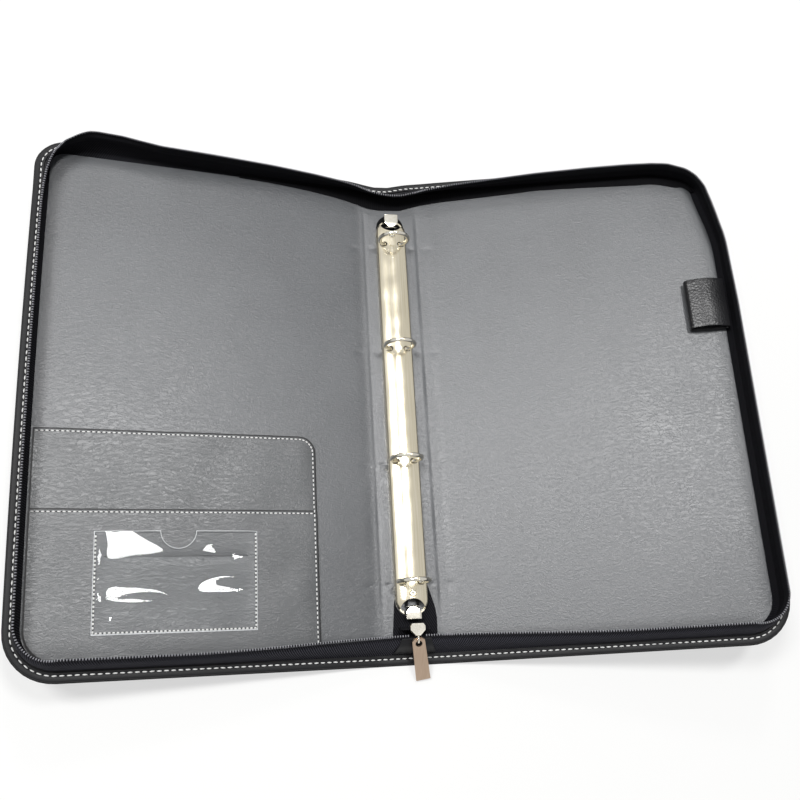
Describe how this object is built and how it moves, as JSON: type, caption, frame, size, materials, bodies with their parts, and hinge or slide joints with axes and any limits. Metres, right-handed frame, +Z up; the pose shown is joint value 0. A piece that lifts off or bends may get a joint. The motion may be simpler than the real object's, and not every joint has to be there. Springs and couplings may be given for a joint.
{
  "type": "portfolio case",
  "caption": "Zip-round portfolio case lying open, with a ring mechanism on its spine, a stitched pocket with a clear card window and a pen loop.",
  "frame": {"origin": "middle of the spine's outer face, on the surface that the open case lies on", "axes": "+X across the open case to the right cover, +Y along the spine to its head, +Z up"},
  "size_m": [0.4772, 0.3554, 0.0703],
  "materials": {
    "black_leather": "fine-grained black imitation leather",
    "lining_leather": "smooth satin imitation leather with fine wrinkles",
    "board": "grey millboard",
    "zip_tape": "black twill tape",
    "nylon_coil": "black nylon coil",
    "nickel_plate": "bright nickel plate",
    "blade_steel": "plain spring steel",
    "clear_film": "clear soft vinyl film",
    "bronze_metal": "satin bronze plated metal"
  },
  "bodies": {
    "spine": {"spine_skin": "black_leather", "spine_board": "board", "spine_lining": "lining_leather", "spine_hems": "black_leather", "ring_housing": "nickel_plate", "housing_rivets": "nickel_plate", "head_tape": "zip_tape", "head_coil": "nylon_coil", "foot_tape": "zip_tape", "foot_coil": "nylon_coil", "foot_patch": "black_leather", "tape_tail": "zip_tape", "head_gusset": "zip_tape"},
    "left_ring_blade": {"left_blade": "blade_steel", "left_rings": "nickel_plate"},
    "right_ring_blade": {"right_blade": "blade_steel", "right_rings": "nickel_plate"},
    "head_lever": {"head_trigger": "nickel_plate"},
    "foot_lever": {"foot_trigger": "nickel_plate"},
    "left_cover": {"left_skin": "black_leather", "left_board": "board", "left_lining": "lining_leather", "left_hem": "black_leather", "left_tape": "zip_tape", "left_coil": "nylon_coil", "document_pocket": "lining_leather", "front_pocket": "lining_leather", "card_window": "clear_film"},
    "right_cover": {"right_skin": "black_leather", "right_board": "board", "right_lining": "lining_leather", "right_hem": "black_leather", "right_tape": "zip_tape", "right_coil": "nylon_coil", "pen_loop": "black_leather"},
    "zip_slider": {"slider_body": "nickel_plate", "slider_bridge": "nickel_plate"},
    "zip_pull": {"pull_tab": "bronze_metal"}
  },
  "joints": [
    {"name": "left_cover_fold", "type": "hinge", "parent": "spine", "child": "left_cover", "pos_m": [-0.022, 0, 0.0006], "axis": [0, 1, 0], "range_deg": [-10, 80], "deforming": ["head_tape", "head_coil", "foot_tape", "foot_coil"]},
    {"name": "right_cover_fold", "type": "hinge", "parent": "spine", "child": "right_cover", "pos_m": [0.022, 0, 0.0006], "axis": [0, -1, 0], "range_deg": [-13, 77], "deforming": ["head_tape", "head_coil", "foot_tape", "foot_coil"]},
    {"name": "left_rings_open", "type": "hinge", "parent": "spine", "child": "left_ring_blade", "pos_m": [-0.00825, -0.00194, 0.0055], "axis": [0, -1, 0], "range_deg": [0, 18]},
    {"name": "right_rings_open", "type": "hinge", "parent": "spine", "child": "right_ring_blade", "pos_m": [0.00825, -0.00194, 0.0055], "axis": [0, 1, 0], "range_deg": [0, 18]},
    {"name": "head_trigger_press", "type": "hinge", "parent": "spine", "child": "head_lever", "pos_m": [0, 0.12606, 0.006], "axis": [-1, 0, 0], "range_deg": [0, 18]},
    {"name": "foot_trigger_press", "type": "hinge", "parent": "spine", "child": "foot_lever", "pos_m": [0, -0.12994, 0.006], "axis": [1, 0, 0], "range_deg": [0, 18]},
    {"name": "slider_run", "type": "slide", "parent": "spine", "child": "zip_slider", "axis": [0, -1, 0], "range_m": [0, 0.006]},
    {"name": "pull_swing", "type": "hinge", "parent": "zip_slider", "child": "zip_pull", "pos_m": [0, -0.15814, 0.02008], "axis": [-1, 0, 0], "range_deg": [0, 105]}
  ],
  "couplings": [
    {"joint": "right_rings_open", "follows": "left_rings_open", "ratio": 1},
    {"joint": "head_trigger_press", "follows": "left_rings_open", "ratio": 1},
    {"joint": "foot_trigger_press", "follows": "left_rings_open", "ratio": 1}
  ]
}
